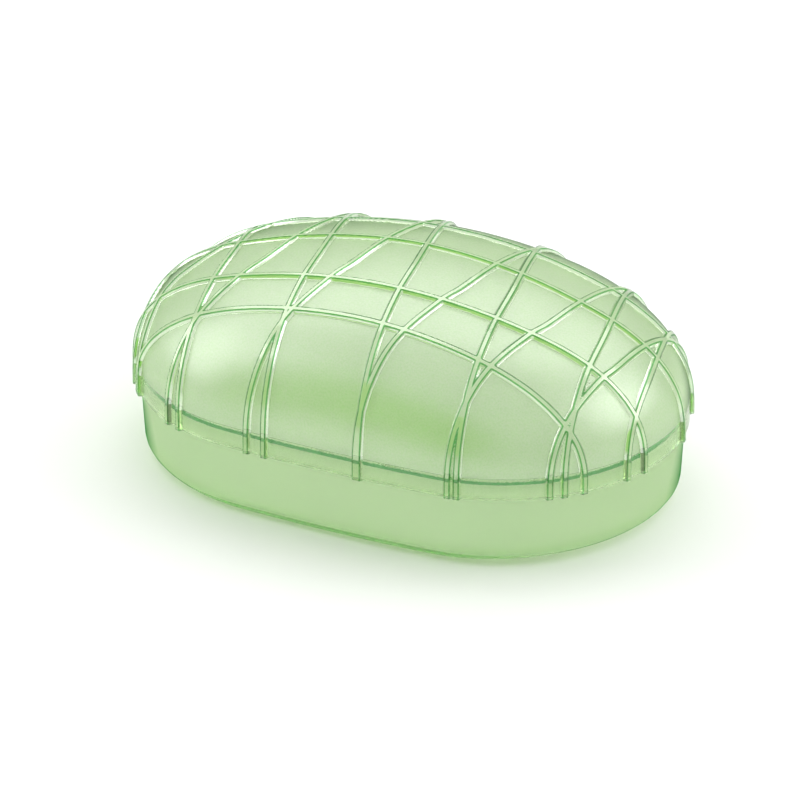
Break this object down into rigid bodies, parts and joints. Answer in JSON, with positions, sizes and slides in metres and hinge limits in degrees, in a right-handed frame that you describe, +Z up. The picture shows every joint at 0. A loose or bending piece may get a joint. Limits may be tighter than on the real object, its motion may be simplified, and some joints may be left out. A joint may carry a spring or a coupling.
{
  "type": "soap dish",
  "caption": "Oval soap dish in translucent plastic: a shallow base that holds a bar of soap and a domed lid with a raised lattice of ribs that lifts straight off.",
  "frame": {"origin": "middle of the base's underside, on the surface it stands on", "axes": "+Z up, +X along the length, +Y across the width towards the back"},
  "size_m": [0.1111, 0.0743, 0.0444],
  "materials": {
    "base_plastic": "milky translucent green, satin moulded",
    "lid_plastic": "milky translucent green with a fine pearl grain, glossy ribs"
  },
  "bodies": {
    "base": {"base": "base_plastic"},
    "lid": {"lid": "lid_plastic"}
  },
  "joints": [
    {"name": "lid_lift", "type": "slide", "parent": "base", "child": "lid", "axis": [0, 0, 1], "range_m": [0, 0.05]}
  ]
}
